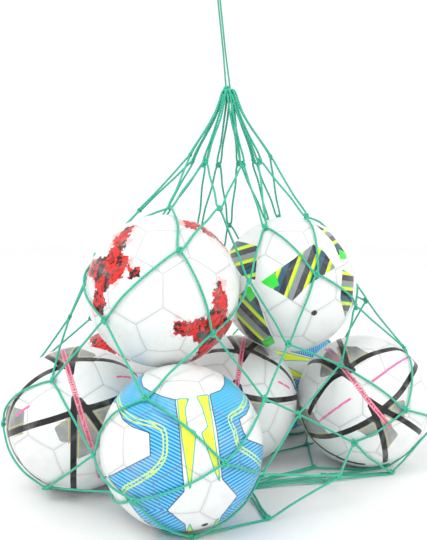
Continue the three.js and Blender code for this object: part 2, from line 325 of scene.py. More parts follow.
def work_rows(points, held, knots):
    """Joins the knots of neighbouring rows by zigzags of bars: the steps, bends and spacings to keep."""
    rows, steps, bends, spacings = [], [], [], []
    for row in range(1, ROWS + 1):
        ends = []
        for mesh in range(MESHES_ROUND):
            pair = [knots[row - 1][mesh], knots[row][mesh]]
            ends += pair if row % 2 == 1 else pair[::-1]
        path = []
        for start, finish in zip(ends, ends[1:] + ends[:1]):
            path.append(start)
            for step in range(1, BAR_STEPS):
                share = step / BAR_STEPS
                points.append([a + (b - a) * share for a, b in zip(points[start], points[finish])])
                held.append(False)
                path.append(len(points) - 1)
        count = len(path)
        for index, point in enumerate(path):
            steps.append((point, path[(index + 1) % count]))
            if index % BAR_STEPS == 0:
                for step in range(1, BAR_STEPS):
                    spacings.append((path[index - step], path[(index + step) % count]))
            else:
                bends.append((path[index - 1], point, path[(index + 1) % count]))
        rows.append(path)
    return rows, np.array(steps), np.array(bends), np.array(spacings)


def way_out(points):
    """The move that takes each point out of the balls: straight out, or sideways where a ball stands."""
    move = np.zeros_like(points)
    low = points[:, 2] < STANDING_BELOW
    for centre in CENTRES.values():
        away = points - centre
        distance = np.linalg.norm(away, axis=1)
        inside = distance < CLEARANCE_RADIUS
        level = np.hypot(away[:, 0], away[:, 1]) + 1e-12
        wanted = np.sqrt(np.maximum(0, CLEARANCE_RADIUS**2 - away[:, 2] ** 2))
        sideways = np.minimum(wanted - level, SIDE_STEP) / level
        straight = CLEARANCE_RADIUS / (distance + 1e-12) - 1
        amount = np.where(low, sideways, straight) * inside
        flat = away.copy()
        flat[low, 2] = 0
        move += flat * amount[:, None]
    return move


def keep_clear(points):
    points += way_out(points)
    points[:, 2] = np.maximum(points[:, 2], FLOOR_CORD)
    return points


def settle(points, held, knots, steps, bends, spacings):
    """Sweeps over the net, each time letting it sink a little and then restoring each step's length."""
    points = np.array(points, float)
    count = len(points)
    free = ~np.array(held)
    rest = BAR_LENGTH / BAR_STEPS
    joined = np.bincount(steps.ravel(), minlength=count)
    share = np.where(joined > 2, 2 / np.maximum(joined, 1), 1.0)[:, None]
    doubled = np.where(~free[steps[:, 0]] | ~free[steps[:, 1]], 2.0, 1.0)
    hints = np.array([knots[row][mesh] for row, mesh, _, _ in FRONT_KNOTS])
    aims = np.array([(across, up) for _, _, across, up in FRONT_KNOTS], float)
    a, b = steps[:, 0], steps[:, 1]
    first, last = spacings[:, 0], spacings[:, 1]
    before, middle, after = bends.T
    for sweep in range(SWEEPS):
        fade = max(0.0, 1 - sweep / (SWEEPS * PULLED_SHARE))
        points[free, 2] -= WEIGHT * fade
        moves = np.zeros_like(points)
        way = points[b] - points[a]
        length = np.linalg.norm(way, axis=1) + 1e-9
        amount = (length - rest) / length / 2
        amount = np.where(amount < 0, amount * SLACK_PUSH, amount) * doubled
        push = way * amount[:, None]
        out = way_out((points[a] + points[b]) / 2)
        np.add.at(moves, a, push + out)
        np.add.at(moves, b, out - push)
        bend = (points[before] + points[after]) / 2 - points[middle]
        np.add.at(moves, middle, bend * BENDING)
        way = points[last] - points[first]
        length = np.linalg.norm(way, axis=1) + 1e-9
        push = way * np.minimum(0, (length - LEG_SPACING) / length / 2)[:, None]
        np.add.at(moves, first, push)
        np.add.at(moves, last, -push)
        moves[hints, 0] += (aims[:, 0] - points[hints, 0]) * HINT_PULL
        moves[hints, 1] += PRESS_BACK * HINT_PULL
        moves[hints, 2] += (aims[:, 1] - points[hints, 2]) * HINT_PULL
        points[free] += (moves * share)[free]
        points[free] = keep_clear(points[free])
    return points


def unit(vector):
    return vector / (np.linalg.norm(vector) + 1e-12)


def hook_at(centre, angle):
    """The loop where a bar is hooked over a ring: up outside it, over, down inside and out below."""
    turns = [
        (-8, HOOK_REACH + 1, 0.5), (-3, 0, HOOK_REACH), (0, -HOOK_REACH, 0), (3, 0, -HOOK_REACH),
        (8, HOOK_REACH + 1, -HOOK_REACH),
    ]
    line = []
    for degrees, outward, rise in turns:
        way = angle + math.radians(degrees)
        reach = RING_RADIUS + outward
        line.append(centre + np.array([reach * math.cos(way), reach * math.sin(way), rise]))
    return line


def net_lines():
    """Each row's closed line, and each knot as its place, its upward way and its sideways way."""
    points, held, knots = lay_out_net()
    rows, steps, bends, spacings = work_rows(points, held, knots)
    points = settle(points, held, knots, steps, bends, spacings)
    legs = {}
    for row, path in enumerate(rows):
        for index in range(0, len(path), BAR_STEPS):
            knot = points[path[index]]
            back, ahead = points[path[index - 1]] - knot, points[path[index + 1]] - knot
            legs[row, path[index]] = (unit(back), unit(ahead))
    lines, ties = [], {}
    for row, path in enumerate(rows):
        line = []
        for index, point in enumerate(path):
            if index % BAR_STEPS:
                line.append(points[point])
                continue
            before, after = legs[row, point]
            is_upper = point in knots[row]
            other = legs.get((row - 1 if is_upper else row + 1, point))
            if other is None:
                centre = MOUTH if is_upper else FOOT
                way = points[point] - centre
                line += hook_at(centre, math.atan2(way[1], way[0]))
                continue
            upward = before + after - other[0] - other[1]
            if points[point][2] < FLAT_BELOW:
                upward[2] = 0
            upward = unit(upward)
            sideways = before - after
            sideways = unit(sideways - upward * sideways.dot(upward))
            risen = points[point] + upward * KNOT_RISE
            knee = [risen + sideways * side * LEG_SPACING / 2 for side in (1, -1)]
            line += list(keep_clear(np.array(knee)))
            if not is_upper:
                ties[point] = (points[point], upward, sideways)
        lines.append(np.array(line) - ORIGIN)
    return lines, [(place - ORIGIN, upward, sideways) for place, upward, sideways in ties.values()]


# ---- twine ----

TWINE_RADIUS = 1.85
GATHER_FROM = 515.0
GATHER_PULL = 0.4
TWIST_PITCH = 12.0
TWINE_STEP = 1.6
CURVE_CUTS = 8
# How near a ball the twine starts to be laid on it, over what distance, and by how much at most.
LAID_WITHIN = 118.0
LAID_OVER = 4.0
LAID_BY = 0.9
TWINE_GAP = 0.05
KNOT_GAP = 4.0
KNOT_TWINE_RADIUS = 1.6
KNOT_SIDES = 8
KNOT_SIZE = 1.42
KNOT_SIZE_SPREAD = 0.16
SLIP_KNOT_PLACE = MOUTH + np.array([-3.0, -7.0, 4.0])
SLIP_KNOT_SIZE = 1.5
SLIP_KNOT_TURN = 0.8
CURVE_POINTS = 40
LOBES = 3
LOBE_DEPTH = 0.16


def smooth_line(points, spacing, closed):
    """A Catmull-Rom curve through the points, cut into even steps, and its length."""
    points = np.asarray(points, float)
    count = len(points)
    pieces = []
    for index in range(count if closed else count - 1):
        if closed:
            p0, p1, p2, p3 = (points[(index + shift) % count] for shift in (-1, 0, 1, 2))
        else:
            p0, p1, p2, p3 = (points[min(max(index + shift, 0), count - 1)] for shift in (-1, 0, 1, 2))
        knots = np.cumsum([0] + [max(1e-6, np.linalg.norm(d) ** 0.5) for d in (p1 - p0, p2 - p1, p3 - p2)])
        for share in np.arange(CURVE_CUTS) / CURVE_CUTS:
            pieces.append(centripetal(p0, p1, p2, p3, knots, share))
    if not closed:
        pieces.append(points[-1])
    fine = np.array(pieces + ([pieces[0]] if closed else []))
    lengths = np.concatenate([[0], np.cumsum(np.linalg.norm(np.diff(fine, axis=0), axis=1))])
    total = lengths[-1]
    steps = max(4, round(total / spacing))
    places = np.linspace(0, total, steps + 1)
    line = np.stack([np.interp(places, lengths, fine[:, axis]) for axis in range(3)], axis=1)
    return (line[:-1] if closed else line), total


def centripetal(p0, p1, p2, p3, knots, share):
    t = knots[1] + (knots[2] - knots[1]) * share
    a1 = (knots[1] - t) / (knots[1] - knots[0]) * p0 + (t - knots[0]) / (knots[1] - knots[0]) * p1
    a2 = (knots[2] - t) / (knots[2] - knots[1]) * p1 + (t - knots[1]) / (knots[2] - knots[1]) * p2
    a3 = (knots[3] - t) / (knots[3] - knots[2]) * p2 + (t - knots[2]) / (knots[3] - knots[2]) * p3
    b1 = (knots[2] - t) / (knots[2] - knots[0]) * a1 + (t - knots[0]) / (knots[2] - knots[0]) * a2
    b2 = (knots[3] - t) / (knots[3] - knots[1]) * a2 + (t - knots[1]) / (knots[3] - knots[1]) * a3
    return (knots[2] - t) / (knots[2] - knots[1]) * b1 + (t - knots[1]) / (knots[2] - knots[1]) * b2


def twine_mesh(line, closed, radius=CORD_RADIUS, sides=9, pitch=TWIST_PITCH):
    """A twisted three-ply cord along a line: corners, faces, and the lie of the plies at each corner."""
    count = len(line)
    if closed:
        tangents = np.roll(line, -1, axis=0) - np.roll(line, 1, axis=0)
    else:
        tangents = np.gradient(line, axis=0)
    tangents /= np.linalg.norm(tangents, axis=1)[:, None] + 1e-12
    normal = unit(np.cross(tangents[0], [0.31, 0.52, 0.79]))
    normals = []
    for tangent in tangents:
        normal = unit(normal - tangent * normal.dot(tangent))
        normals.append(normal)
    normals = np.array(normals)
    sideways = np.cross(tangents, normals)
    gaps = np.linalg.norm(np.diff(line, axis=0, append=line[:1] if closed else line[-1:]), axis=1)
    travel = np.concatenate([[0], np.cumsum(gaps)[:-1]])
    total = gaps.sum()
    turn = 2 * math.pi * travel / pitch
    if closed:
        end = unit(normals[-1] - tangents[0] * normals[-1].dot(tangents[0]))
        drift = math.atan2(np.cross(normals[0], end).dot(tangents[0]), normals[0].dot(end))
        turns = round(total / pitch * LOBES) / LOBES
        turn = (2 * math.pi * turns - drift) * travel / total
    around = np.arange(sides) * 2 * math.pi / sides
    ply = np.cos(around * LOBES)
    reach = radius * (1 - LOBE_DEPTH * (1 - ply) / 2)
    angle = turn[:, None] + around[None, :]
    corners = line[:, None, :] + reach[None, :, None] * (
        np.cos(angle)[..., None] * normals[:, None, :] + np.sin(angle)[..., None] * sideways[:, None, :]
    )
    # The section's turn at the seam of a closed cord is a whole number of plies.
    shift = 0
    if closed:
        wrapped = 2 * math.pi * (round(total / pitch * LOBES) / LOBES)
        shift = round(wrapped / (2 * math.pi / sides)) % sides
    faces = []
    for ring in range(count if closed else count - 1):
        following = (ring + 1) % count
        slip = shift if closed and following == 0 else 0
        for side in range(sides):
            nearby = (side + 1) % sides
            faces.append((
                ring * sides + side, ring * sides + nearby,
                following * sides + (nearby + slip) % sides, following * sides + (side + slip) % sides,
            ))
    if not closed:
        faces.append(tuple(range(sides))[::-1])
        faces.append(tuple((count - 1) * sides + side for side in range(sides)))
    grooves = np.tile((1 - ply) / 2, count)
    along = np.repeat(travel, sides)
    return corners.reshape(-1, 3), faces, grooves, along


def twine_piece(name, lines, material, closed, **shape):
    """One piece made of one or more twisted cords."""
    corners, faces, grooves, along = [], [], [], []
    for line in lines:
        new_corners, new_faces, new_grooves, new_along = twine_mesh(line, closed, **shape)
        start = sum(len(part) for part in corners)
        corners.append(new_corners)
        faces += [tuple(start + corner for corner in face) for face in new_faces]
        grooves.append(new_grooves)
        along.append(new_along)
    piece = new_piece(name, np.concatenate(corners), faces, material)
    set_numbers(piece, "groove", np.concatenate(grooves))
    set_numbers(piece, "along", np.concatenate(along))
    set_numbers(piece, "place", np.concatenate(corners) / 10)
    return piece


def against_balls(line):
    """Lays a cord's line on the balls where it passes close over them."""
    line = line.copy()
    touch = BALL_RADIUS + TWINE_RADIUS + TWINE_GAP
    for centre in CENTRES.values():
        away = line - (centre - ORIGIN)
        distance = np.linalg.norm(away, axis=1)
        share = np.clip((LAID_WITHIN - distance) / LAID_OVER, 0, 1)
        wanted = np.maximum(touch, distance - LAID_BY * share * share * (3 - 2 * share))
        line += away * (wanted / distance - 1)[:, None]
    line[:, 2] = np.maximum(line[:, 2], TWINE_RADIUS)
    return line


def gathered(line):
    """Draws the topmost part of a cord in towards the mouth's axis, into the tight bundle of the gather."""
    share = np.clip((line[:, 2] - GATHER_FROM) / (MOUTH[2] - GATHER_FROM), 0, 1)
    scale = 1 - GATHER_PULL * share * share * (3 - 2 * share)
    axis = (MOUTH - ORIGIN)[:2]
    drawn = line.copy()
    drawn[:, :2] = axis + (line[:, :2] - axis) * scale[:, None]
    return drawn


def twine_material(name, light, groove_shade):
    paint = Paint(name, 0.5, sheen=0.25)
    paint.shader.inputs["Subsurface Weight"].default_value = 0.12
    paint.shader.inputs["Subsurface Radius"].default_value = (0.0006, 0.002, 0.0015)
    groove = paint.number("groove")
    fleck = paint.noise(2.2, 4.0, "place")
    fibre = paint.noise(26.0, 2.0, "place")
    paint.base(light)
    # Painted shade: the groove colour is laid into the grooves between the plies, where shade falls on the
    # twine.
    paint.layer(groove_shade, groove * 0.75)
    paint.layer(tuple(value * 0.72 for value in light), fleck.step(0.56, 0.2) * 0.45)
    paint.layer(tuple(min(1, value * 1.6 + 0.06) for value in light), fibre.step(0.64, 0.1) * 0.3)
    paint.rough(fibre * 0.25 + 0.36)
    paint.bump(fibre, 0.5, 0.0002)
    return paint.done()


def knot_line(place, upward, sideways, size, turn):
    """A small overhand knot's centre line, flattened against the net."""
    outward = np.cross(upward, sideways)
    share = np.linspace(0, 2 * math.pi, CURVE_POINTS, endpoint=False)
    reach = 2.0 + np.cos(3 * share)
    across = reach * np.cos(2 * share + turn) * size * 0.92
    along = reach * np.sin(2 * share + turn) * size * 1.12
    deep = -np.sin(3 * share) * size * 1.05
    return place + across[:, None] * sideways + along[:, None] * upward + deep[:, None] * outward


def off_the_balls(place, gap):
    """Moves a knot's middle out until it clears the balls, and up off the floor."""
    for centre in CENTRES.values():
        away = place - (centre - ORIGIN)
        distance = np.linalg.norm(away)
        if distance < BALL_RADIUS + gap:
            place = place + away * ((BALL_RADIUS + gap) / distance - 1)
    place[2] = max(place[2], gap)
    return place


def add_net(material):
    """The ten rows of twine, the knots where they meet, and the slip knot at the mouth."""
    lines, ties = net_lines()
    for number, line in enumerate(lines, start=1):
        smooth, _ = smooth_line(line, TWINE_STEP, closed=True)
        laid = gathered(against_balls(smooth))
        piece = twine_piece(f"twine_row_{number:02d}", [laid], material, closed=True, radius=TWINE_RADIUS)
        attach(piece, "net")
        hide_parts(f"net_row_{number:02d}")
    generator = np.random.default_rng(7)
    knots = []
    for place, upward, sideways in ties:
        middle = gathered(off_the_balls(place.copy(), KNOT_GAP)[None])[0]
        size = KNOT_SIZE + KNOT_SIZE_SPREAD * generator.random()
        knots.append(knot_line(middle, upward, sideways, size, generator.random() * 2 * math.pi))
    upward, sideways = np.array([0.2, 0, 1]), np.array([1, 0, -0.2])
    knots.append(knot_line(SLIP_KNOT_PLACE - ORIGIN, upward, sideways, SLIP_KNOT_SIZE, SLIP_KNOT_TURN))
    for group in range(ROWS - 1):
        piece = twine_piece(
            f"knots_{group + 1:02d}", knots[group::ROWS - 1], material, closed=True,
            radius=KNOT_TWINE_RADIUS, sides=KNOT_SIDES,
        )
        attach(piece, "net")


def add_ring(name, node, centre, material):
    """The noose round the loops of the mouth or of the bottom."""
    angles = np.linspace(0, 2 * math.pi, CURVE_POINTS, endpoint=False)
    ring = np.stack([
        RING_RADIUS * np.cos(angles), RING_RADIUS * np.sin(angles), np.zeros_like(angles),
    ], axis=1) + centre - ORIGIN
    piece = twine_piece(name, [gathered(ring)], material, closed=True)
    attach(piece, "net")
    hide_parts(node)


# ---- drawcord ----

STRAND_BOTTOM = 606.0
STRAND_TOP = 764.0
STRAND_HALF_GAP_BOTTOM = 3.3
STRAND_HALF_GAP_TOP = 1.7
STRAND_LEAN = -0.105
END_KNOT_HEIGHT = 16.0
LOOP_HALF_WIDTH = 17.0
LOOP_HEIGHT = 55.0
CORD_GAP = 0.3
STRAND_POINTS = 16
STRAND_CLOSING = 2.5
LOOP_POINTS = 21
LOOP_HALF_GAP = 1.8
LOOP_ROUNDNESS = 1.2
END_KNOT_TURNS = [(1.75, 0.4), (1.2, 1.7)]
KNOT_BOTTOM = STRAND_TOP + CORD_GAP
KNOT_MIDDLE = KNOT_BOTTOM + END_KNOT_HEIGHT / 2


def lean_at(height):
    return MOUTH[0] + STRAND_LEAN * (height - MOUTH[2])


def strand_line(side):
    """One of the two pulling strands, side by side from the mouth to the knot above."""
    line = []
    for share in np.linspace(0, 1, STRAND_POINTS):
        height = STRAND_BOTTOM + share * (STRAND_TOP - STRAND_BOTTOM)
        closing = min(1, share * STRAND_CLOSING)
        half = STRAND_HALF_GAP_BOTTOM + closing * (STRAND_HALF_GAP_TOP - STRAND_HALF_GAP_BOTTOM)
        line.append([lean_at(height) + side * half, MOUTH[1], height])
    return np.array(line) - ORIGIN


def loop_line():
    """The hand loop: out of the knot on one side, round, and back in on the other."""
    foot = KNOT_BOTTOM + END_KNOT_HEIGHT + CORD_GAP
    line = []
    for angle in np.linspace(0, 2 * math.pi, LOOP_POINTS):
        rise = (1 - math.cos(angle)) / 2 * LOOP_HEIGHT
        opening = math.sin(angle / 2) ** LOOP_ROUNDNESS if 0 < angle < 2 * math.pi else 0.0
        across = -LOOP_HALF_WIDTH * math.sin(angle) * opening - LOOP_HALF_GAP * math.cos(angle / 2)
        line.append([lean_at(KNOT_MIDDLE) + across, MOUTH[1], foot + rise])
    return np.array(line) - ORIGIN


def add_drawcord(material):
    """The two strands, the knot that joins them and the hand loop above it."""
    middle = np.array([lean_at(KNOT_MIDDLE), MOUTH[1], KNOT_MIDDLE]) - ORIGIN
    up, side = np.array([0.0, 0.0, 1.0]), np.array([1.0, 0.0, 0.0])
    tied = [knot_line(middle, up, side, size, turn) for size, turn in END_KNOT_TURNS]
    knot = twine_piece("end_knot", tied, material, closed=True)
    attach(knot, "drawcord")
    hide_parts("drawcord_knot")
    routes = {
        "left": (strand_line(-1), "drawcord_left"),
        "right": (strand_line(1), "drawcord_right"),
        "loop": (loop_line(), "drawcord_loop"),
    }
    for name, (route, node) in routes.items():
        line, length = smooth_line(route, TWINE_STEP, closed=False)
        piece = twine_piece(f"drawcord_twine_{name}", [line], material, closed=False)
        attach(piece, "drawcord")
        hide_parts(node)


# Each twine's second colour is the painted shade laid in its ply grooves.
net_twine = twine_material("net_twine", linear(64, 214, 178), linear(20, 142, 112))
drawcord_twine = twine_material("drawcord_twine", linear(56, 196, 162), linear(16, 124, 98))
add_drawcord(drawcord_twine)
add_net(net_twine)
add_ring("mouth_noose", "mouth_ring", MOUTH, drawcord_twine)
add_ring("bottom_noose", "bottom_tie", FOOT, net_twine)

# ---- footballs: 32 stitched panels ----

GOLDEN = (1 + 5**0.5) / 2
SEAM_DEPTH = 0.7
SEAM_HALF_WIDTH = 1.15
PANEL_CROWN = 0.35
PANEL_CROWN_REACH = 7.0
EDGE_STEPS = 14
PANEL_LEVELS = [step * 0.082 for step in range(12)] + [0.935, 0.96, 0.98, 0.99, 1.0]
EYE = np.array(CAMERA_PLACE) / MM


def signs():
    return [(i, j, k) for i in (1, -1) for j in (1, -1) for k in (1, -1)]


def panel_layout():
    """The 32 panels of a football as directions to their corners, in order round each panel."""
    corners = set()
    for shape in ((0, 1, 3 * GOLDEN), (1, 2 + GOLDEN, 2 * GOLDEN), (GOLDEN, 2, 2 * GOLDEN + 1)):
        for sign in signs():
            point = [length * way for length, way in zip(shape, sign)]
            for shift in range(3):
                corners.add(tuple(round(point[(axis + shift) % 3], 9) + 0.0 for axis in range(3)))
    corners = np.array(sorted(corners))
    centres = [np.array(sign, float) for sign in signs()]
    for _, i, j in signs()[:4]:
        for shift in range(3):
            centres.append(np.roll([0, i * 1.0, j * GOLDEN], shift))
            centres.append(np.roll([0, i * GOLDEN, j / GOLDEN], shift))
    panels = []
    for centre in centres:
        way = unit(centre)
        reach = corners @ way
        ring = corners[reach > reach.max() - 1e-4]
        first = unit(np.cross(way, [0.3, 0.5, 0.8]))
        second = np.cross(way, first)
        order = np.argsort(np.arctan2(ring @ second, ring @ first))
        panels.append((way, np.array([unit(corner) for corner in ring[order]])))
    return panels


def ball_mesh():
    """The stitched ball's corners and faces, and how far each corner is from a seam."""
    corners, faces, seam = [], [], []
    wide = EDGE_STEPS + 1
    for way, ring in panel_layout():
        for left, right in zip(ring, np.roll(ring, -1, axis=0)):
            start = len(corners)
            edge_normal = unit(np.cross(left, right))
            for level in PANEL_LEVELS:
                for step in range(wide):
                    share = step / EDGE_STEPS
                    rim = unit(left * (1 - share) + right * share)
                    point = unit(way * (1 - level) + rim * level)
                    distance = abs(math.asin(max(-1, min(1, point.dot(edge_normal))))) * BALL_RADIUS
                    dip = SEAM_DEPTH * math.exp(-((distance / SEAM_HALF_WIDTH) ** 2))
                    crown = PANEL_CROWN * math.exp(-distance / PANEL_CROWN_REACH)
                    corners.append(point * (BALL_RADIUS - dip - crown))
                    seam.append(distance)
            for level in range(len(PANEL_LEVELS) - 1):
                for step in range(EDGE_STEPS):
                    inner = start + level * wide + step
                    outer = inner + wide
                    ring_face = (inner, outer, outer + 1, inner + 1)
                    faces.append(ring_face if level else ring_face[:3])
    return weld(np.array(corners), faces, np.array(seam))


def weld(corners, faces, values):
    """Joins corners that lie together, keeping each group's first value."""
    keys, kept = {}, []
    target = []
    for index, corner in enumerate(np.round(corners, 2).tolist()):
        key = tuple(corner)
        if key not in keys:
            keys[key] = len(kept)
            kept.append(index)
        target.append(keys[key])
    joined = [tuple(dict.fromkeys(target[corner] for corner in face)) for face in faces]
    return corners[kept], [face for face in joined if len(face) > 2], values[kept]


BALL_CORNERS, BALL_FACES, BALL_SEAM = ball_mesh()
BALL_WAYS = BALL_CORNERS / np.linalg.norm(BALL_CORNERS, axis=1)[:, None]

# ---- printed patterns, drawn on the disc that a ball shows: x to its right, y up, 1 at its rim ----


def outline_distance(outlines):
    """How far each of a ball's corners is outside the nearest outline, in radii; below zero inside."""
    places = BALL_WAYS[:, :2]
    best = np.full(len(places), 9.0)
    for outline in outlines:
        corners = np.array(outline, float)
        following = np.roll(corners, -1, axis=0)
        edge = following - corners
        gap = places[:, None, :] - corners[None]
        share = np.clip((gap * edge).sum(-1) / (edge**2).sum(-1), 0, 1)
        nearest = np.linalg.norm(gap - share[..., None] * edge, axis=-1).min(axis=1)
        spans = (corners[:, 1] > places[:, 1:2]) != (following[:, 1] > places[:, 1:2])
        crossing = corners[:, 0] + (places[:, 1:2] - corners[:, 1]) * edge[:, 0] / (edge[:, 1] + 1e-9)
        inside = (spans & (places[:, :1] < crossing)).sum(axis=1) % 2 == 1
        best = np.minimum(best, np.where(inside, -nearest, nearest))
    return best


def line_distance(lines):
    """How far each of a ball's corners is from the nearest line, and where along it, in millimetres."""
    ways = BALL_WAYS * np.array([1, 1, 0]) + np.abs(BALL_WAYS) * np.array([0, 0, 1])
    best = np.full(len(ways), 300.0)
    along = np.zeros(len(ways))
    for line in lines:
        flat = np.array(line, float)
        depth = np.sqrt(np.maximum(0.0, 1 - (flat**2).sum(axis=1)))
        points, _ = smooth_line(np.column_stack([flat, depth]), 0.02, closed=False)
        points /= np.linalg.norm(points, axis=1)[:, None]
        distance = np.linalg.norm(ways[:, None, :] - points[None], axis=-1)
        nearest = distance.argmin(axis=1)
        near = distance.min(axis=1) * BALL_RADIUS
        along = np.where(near < best, nearest * 0.02 * BALL_RADIUS, along)
        best = np.minimum(best, near)
    return best, along


BLUE_WHITES = [
    [(-0.48, 0.77), (-0.45, 0.9), (-0.36, 0.98), (-0.19, 1.03), (0.04, 1.05), (0.29, 1.02), (0.45, 0.95),
     (0.52, 0.82), (0.51, 0.71), (0.46, 0.63), (0.32, 0.57), (0.16, 0.52), (-0.07, 0.51), (-0.21, 0.55),
     (-0.36, 0.62), (-0.45, 0.68)],
    [(-1.06, 0.52), (-0.91, 0.55), (-0.78, 0.51), (-0.68, 0.3), (-0.56, 0.21), (-0.36, 0.14), (-0.35, -0.1),
     (-0.58, -0.21), (-0.81, -0.32), (-0.93, -0.35), (-1.06, -0.25)],
    [(0.82, 0.57), (0.82, 0.45), (0.76, 0.35), (0.67, 0.29), (0.71, 0.15), (0.76, 0.06), (0.98, -0.01),
     (1.08, 0.15), (1.03, 0.4), (0.91, 0.65)],
    [(-0.07, 0.51), (0.32, 0.57), (0.39, 0.15), (0.45, -0.37), (0.63, -0.57), (0.45, -0.8), (0.42, -1.09),
     (0.05, -1.09), (0.04, -0.87), (-0.16, -0.7), (0.03, -0.49), (0.01, -0.25), (-0.02, 0.15)],
    [(-1.06, -0.4), (-0.86, -0.35), (-0.68, -0.52), (-0.44, -0.85), (-0.19, -1.02), (-0.51, -1.09),
     (-0.91, -0.75)],
]
BLUE_LIMES = [
    [(-0.04, 0.51), (0.07, 0.51), (0.03, 0.4), (0.06, 0.19), (0.15, 0.14), (0.09, -0.45), (0.06, -0.25),
     (-0.01, 0.2)],
    [(0.18, 0.54), (0.3, 0.56), (0.35, 0.15), (0.42, -0.38), (0.39, -0.32), (0.23, 0.13), (0.3, 0.2),
     (0.24, 0.42)],
    [(0.09, -0.88), (0.14, -1.04), (0.04, -1.09)],
    [(0.42, -0.83), (0.41, -1.02), (0.33, -1.04)],
]
BLUE_TRIMS = [
    [(-0.74, 0.7), (-0.76, 0.57), (-0.68, 0.4), (-0.53, 0.29), (-0.26, 0.21), (-0.2, 0.16), (-0.19, -0.1),
     (-0.29, -0.25), (-0.47, -0.37), (-0.67, -0.51), (-0.51, -0.77), (-0.21, -0.97)],
    [(0.64, 0.74), (0.77, 0.6), (0.77, 0.55), (0.68, 0.4), (0.55, 0.3), (0.6, 0.15), (0.65, -0.01),
     (0.81, -0.12), (0.96, -0.25)],
]
RED_PATCHES = [
    [(-0.37, 0.8), (-0.45, 0.78), (-0.61, 0.63), (-0.58, 0.57), (-0.67, 0.4), (-0.9, 0.39), (-0.98, 0.22),
     (-0.86, 0.17), (-0.82, 0.06), (-0.85, -0.14), (-0.81, -0.25), (-0.74, -0.29), (-0.71, -0.15),
     (-0.72, -0.03), (-0.63, 0.06), (-0.5, 0.19), (-0.44, 0.3), (-0.43, 0.41), (-0.49, 0.47), (-0.44, 0.63)],
    [(-0.41, 0.3), (-0.36, 0.24), (-0.28, 0.28), (-0.29, 0.17), (-0.38, 0.15)],
    [(0.25, 0.88), (0.39, 0.88), (0.54, 0.8), (0.72, 0.71), (0.85, 0.52), (0.84, 0.5), (0.67, 0.68),
     (0.49, 0.77), (0.31, 0.78)],
    [(0.14, -0.39), (0.34, -0.39), (0.54, -0.34), (0.61, -0.23), (0.62, -0.04), (0.69, 0.09), (0.75, -0.01),
     (0.78, -0.14), (0.79, -0.34), (0.91, -0.43), (0.8, -0.53), (0.72, -0.66), (0.54, -0.79), (0.39, -0.94),
     (0.34, -0.91), (0.43, -0.76), (0.46, -0.67), (0.36, -0.56), (0.14, -0.5)],
    [(-0.98, -0.7), (-0.86, -0.63), (-0.82, -0.7), (-0.7, -0.89), (-0.8, -0.94)],
    [(-0.67, -0.97), (-0.49, -0.97), (-0.31, -1.04), (-0.54, -1.1)],
]
RED_VEINS = [
    [(-0.25, 0.44), (0.1, 0.4), (0.22, 0.3), (0.1, 0.12), (0.3, -0.02)],
    [(0.35, 0.36), (0.55, 0.38), (0.7, 0.5)],
    [(-0.7, -0.1), (-0.5, -0.2), (-0.44, -0.45), (-0.55, -0.58), (-0.36, -0.6)],
    [(0.5, 0.05), (0.44, -0.2), (0.1, -0.35), (-0.05, -0.2)],
]
STRIPE_PATCHES = [
    ([(-0.89, 0.52), (-0.77, 0.63), (-0.42, 0.52), (-0.45, 0.05), (-0.65, 0.11), (-0.78, 0.29)],
     (-0.25, 0.97)),
    ([(-0.53, -0.02), (-0.41, -0.22), (-0.3, -0.56), (-0.18, -0.84), (-0.31, -0.93), (-0.57, -0.79),
      (-0.72, -0.51), (-0.71, -0.19)], (0.7, 0.71)),
    ([(-0.38, 0.02), (0.06, 0.33), (0.34, 0.55), (0.49, 0.45), (0.65, 0.23), (0.28, 0.0), (0.06, -0.23),
      (-0.14, -0.11)], (0.94, -0.34)),
    ([(0.75, 0.21), (0.93, 0.12), (0.91, -0.25), (0.81, -0.48), (0.72, -0.19)], (0.1, 0.99)),
    ([(0.37, 0.87), (0.6, 0.74), (0.82, 0.43), (0.82, 0.36), (0.72, 0.35), (0.62, 0.6)], (0.5, -0.86)),
]
STRIPE_GREENS = [
    [(-0.38, 0.02), (-0.18, 0.16), (-0.12, -0.02), (-0.22, -0.07)],
    [(-0.53, -0.02), (-0.43, -0.16), (-0.52, -0.26), (-0.62, -0.12)],
    [(0.72, 0.35), (0.82, 0.36), (0.8, 0.46), (0.7, 0.5)],
    [(-0.25, -0.72), (-0.18, -0.84), (-0.31, -0.93), (-0.38, -0.84)],
]
RIGHT_BARS = [
    [(-0.38, 0.9215), (-0.29, 0.7), (-0.2, 0.43)],
    [(-0.83, 0.52), (-0.57, 0.54), (-0.36, 0.42), (-0.14, 0.28)],
    [(-0.14, 0.42), (-0.42, 0.3), (-0.63, 0.04), (-0.77, -0.22)],
    [(-0.2, 0.45), (0.02, 0.61), (0.32, 0.74), (0.59, 0.76), (0.77, 0.6)],
    [(0.79, 0.58), (0.68, 0.37), (0.5, 0.1), (0.23, -0.15)],
    [(0.08, 0.01), (0.29, -0.12), (0.56, -0.25), (0.84, -0.43)],
    [(0.11, -0.07), (0.2, -0.25), (0.29, -0.52), (0.34, -0.88)],
    [(0.32, -0.12), (0.02, -0.33), (-0.36, -0.51), (-0.75, -0.55)],
    [(-0.93, -0.16), (-0.78, -0.55), (-0.42, -0.82), (0.02, -0.93)],
]
RIGHT_PINKS = [[(0.68, 0.67), (0.14, 0.27)], [(-0.17, 0.01), (-0.62, -0.34)], [(-0.57, 0.75), (-0.3, 0.49)]]
RIGHT_DOTS = [[(-0.32, 0.49), (-0.14, 0.28), (0.14, -0.07), (0.38, -0.34)]]
